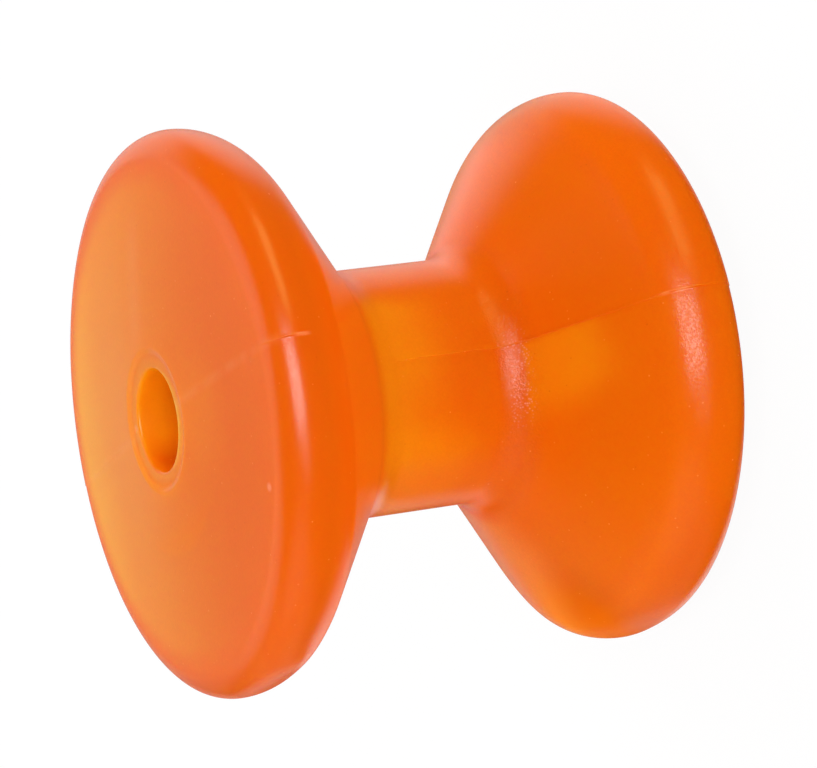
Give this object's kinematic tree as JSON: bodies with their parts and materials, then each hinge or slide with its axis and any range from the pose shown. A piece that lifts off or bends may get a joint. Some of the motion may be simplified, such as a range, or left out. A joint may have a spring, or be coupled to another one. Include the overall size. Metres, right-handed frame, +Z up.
{
  "type": "boat trailer bow roller",
  "caption": "Spool-shaped urethane roller with rounded flanges, conical flanks and a plain through bore, which guides and stops a boat's bow on its trailer.",
  "frame": {"origin": "on the axis of the bore, at the lower end, where the roller stands on the lip of its hub recess", "axes": "+Z up along the bore; the mould parts in the plane X = 0, so its witness line runs along +Y and -Y"},
  "size_m": [0.076, 0.0764, 0.0712],
  "materials": {
    "urethane": "translucent orange urethane, as moulded, satin with a fine speckle"
  },
  "bodies": {
    "root": {"roller": "urethane"}
  },
  "joints": []
}
